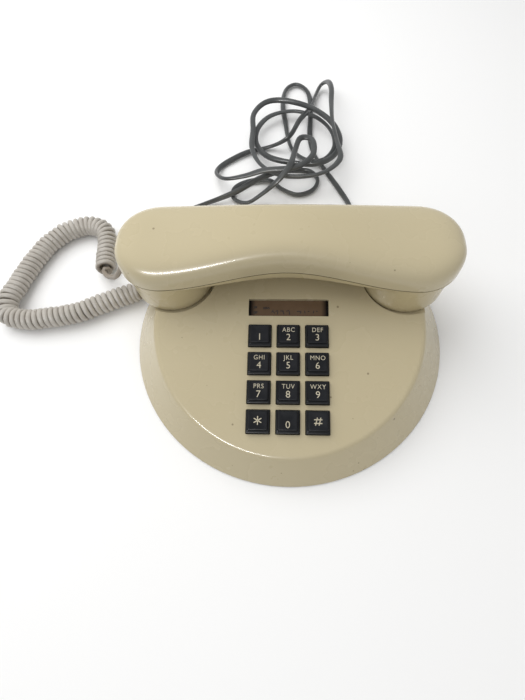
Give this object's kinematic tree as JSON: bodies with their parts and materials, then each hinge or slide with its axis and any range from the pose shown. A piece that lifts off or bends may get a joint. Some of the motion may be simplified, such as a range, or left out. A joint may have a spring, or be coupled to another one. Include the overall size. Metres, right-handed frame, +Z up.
{
  "type": "desk telephone",
  "caption": "Push-button desk telephone with a round sloping base, a lift-off handset in two cradle hollows, a curly handset cord and a line cord",
  "frame": {"origin": "centre of the round base, on the surface that its feet stand on", "axes": "+Z up, -Y towards the user at the front edge, +X to the user's right"},
  "size_m": [0.3375, 0.3986, 0.087],
  "materials": {
    "ivory_shell": "glossy moulded ivory, slightly yellowed",
    "key_black": "satin black with moulded pale legends",
    "smoked_window": "smoked clear plastic",
    "card": "printed paper",
    "inner_plastic": "plain moulded",
    "circuit_board": "coated board",
    "dome_rubber": "plain",
    "black_rubber": "matt",
    "plated_steel": "zinc plated",
    "copper_winding": "enamelled wire",
    "gong_brass": "plated brass",
    "curly_cord": "soft vinyl, grimy in the grooves",
    "line_cord_grey": "satin vinyl",
    "clear_plug": "clear plastic"
  },
  "bodies": {
    "base": {"housing": "ivory_shell", "base_plate": "plated_steel", "base_feet": "black_rubber", "base_screws": "plated_steel", "number_window": "smoked_window", "number_card": "card", "card_tray": "inner_plastic", "keypad_frame": "inner_plastic", "keypad_board": "circuit_board", "contact_domes": "dome_rubber", "keypad_screws": "plated_steel", "hook_bracket": "plated_steel", "hook_pivot_pin": "plated_steel", "hook_switch": "inner_plastic", "ringer_frame": "plated_steel", "ringer_coil": "copper_winding", "ringer_gong_large": "gong_brass", "ringer_gong_small": "gong_brass", "gong_screws": "plated_steel", "network_board": "circuit_board", "network_parts": "inner_plastic", "handset_socket": "inner_plastic", "line_socket": "inner_plastic", "handset_cord_coil": "curly_cord", "handset_cord_tail": "curly_cord", "handset_cord_lead": "curly_cord", "base_end_plug": "clear_plug", "line_cord": "line_cord_grey", "line_plug_phone": "clear_plug", "line_plug_wall": "clear_plug"},
    "key_1": {"key_1": "key_black"},
    "key_2": {"key_2": "key_black"},
    "key_3": {"key_3": "key_black"},
    "key_4": {"key_4": "key_black"},
    "key_5": {"key_5": "key_black"},
    "key_6": {"key_6": "key_black"},
    "key_7": {"key_7": "key_black"},
    "key_8": {"key_8": "key_black"},
    "key_9": {"key_9": "key_black"},
    "key_star": {"key_star": "key_black"},
    "key_0": {"key_0": "key_black"},
    "key_hash": {"key_hash": "key_black"},
    "handset": {"handset_top_shell": "ivory_shell", "handset_lower_shell": "ivory_shell", "handset_screws": "plated_steel", "receiver_grille": "ivory_shell", "transmitter_grille": "ivory_shell", "receiver_capsule": "plated_steel", "transmitter_capsule": "plated_steel", "capsule_rings": "black_rubber", "handset_end_socket": "inner_plastic", "handset_end_plug": "clear_plug"},
    "plunger_left": {"hook_plunger_left": "ivory_shell"},
    "plunger_right": {"hook_plunger_right": "ivory_shell"},
    "lever": {"hook_lever": "plated_steel"},
    "clapper": {"ringer_clapper": "plated_steel"}
  },
  "joints": [
    {"name": "key_1_press", "type": "slide", "parent": "base", "child": "key_1", "axis": [0, 0.1736, -0.9848], "range_m": [0, 0.003], "stiffness_N_per_m": 150, "springref_m": -0.003},
    {"name": "key_2_press", "type": "slide", "parent": "base", "child": "key_2", "axis": [0, 0.1736, -0.9848], "range_m": [0, 0.003], "stiffness_N_per_m": 150, "springref_m": -0.003},
    {"name": "key_3_press", "type": "slide", "parent": "base", "child": "key_3", "axis": [0, 0.1736, -0.9848], "range_m": [0, 0.003], "stiffness_N_per_m": 150, "springref_m": -0.003},
    {"name": "key_4_press", "type": "slide", "parent": "base", "child": "key_4", "axis": [0, 0.1736, -0.9848], "range_m": [0, 0.003], "stiffness_N_per_m": 150, "springref_m": -0.003},
    {"name": "key_5_press", "type": "slide", "parent": "base", "child": "key_5", "axis": [0, 0.1736, -0.9848], "range_m": [0, 0.003], "stiffness_N_per_m": 150, "springref_m": -0.003},
    {"name": "key_6_press", "type": "slide", "parent": "base", "child": "key_6", "axis": [0, 0.1736, -0.9848], "range_m": [0, 0.003], "stiffness_N_per_m": 150, "springref_m": -0.003},
    {"name": "key_7_press", "type": "slide", "parent": "base", "child": "key_7", "axis": [0, 0.1736, -0.9848], "range_m": [0, 0.003], "stiffness_N_per_m": 150, "springref_m": -0.003},
    {"name": "key_8_press", "type": "slide", "parent": "base", "child": "key_8", "axis": [0, 0.1736, -0.9848], "range_m": [0, 0.003], "stiffness_N_per_m": 150, "springref_m": -0.003},
    {"name": "key_9_press", "type": "slide", "parent": "base", "child": "key_9", "axis": [0, 0.1736, -0.9848], "range_m": [0, 0.003], "stiffness_N_per_m": 150, "springref_m": -0.003},
    {"name": "key_star_press", "type": "slide", "parent": "base", "child": "key_star", "axis": [0, 0.1736, -0.9848], "range_m": [0, 0.003], "stiffness_N_per_m": 150, "springref_m": -0.003},
    {"name": "key_0_press", "type": "slide", "parent": "base", "child": "key_0", "axis": [0, 0.1736, -0.9848], "range_m": [0, 0.003], "stiffness_N_per_m": 150, "springref_m": -0.003},
    {"name": "key_hash_press", "type": "slide", "parent": "base", "child": "key_hash", "axis": [0, 0.1736, -0.9848], "range_m": [0, 0.003], "stiffness_N_per_m": 150, "springref_m": -0.003},
    {"name": "handset_lift", "type": "slide", "parent": "base", "child": "handset", "axis": [0, 0, 1], "range_m": [0, 0.12]},
    {"name": "plunger_left_rise", "type": "slide", "parent": "base", "child": "plunger_left", "axis": [0, 0, 1], "range_m": [0, 0.005]},
    {"name": "plunger_right_rise", "type": "slide", "parent": "base", "child": "plunger_right", "axis": [0, 0, 1], "range_m": [0, 0.005]},
    {"name": "lever_rock", "type": "hinge", "parent": "base", "child": "lever", "pos_m": [0, 0.004, 0.014], "axis": [1, 0, 0], "range_deg": [0, 12]},
    {"name": "clapper_swing", "type": "hinge", "parent": "base", "child": "clapper", "pos_m": [0, 0.048, 0.015], "axis": [0, 0, 1], "range_deg": [-13, 13], "stiffness_Nm_per_rad": 0.002}
  ],
  "couplings": [
    {"joint": "plunger_left_rise", "follows": "handset_lift", "ratio": 0.041},
    {"joint": "plunger_right_rise", "follows": "handset_lift", "ratio": 0.041},
    {"joint": "lever_rock", "follows": "handset_lift", "rad_per_m": 1.72}
  ]
}
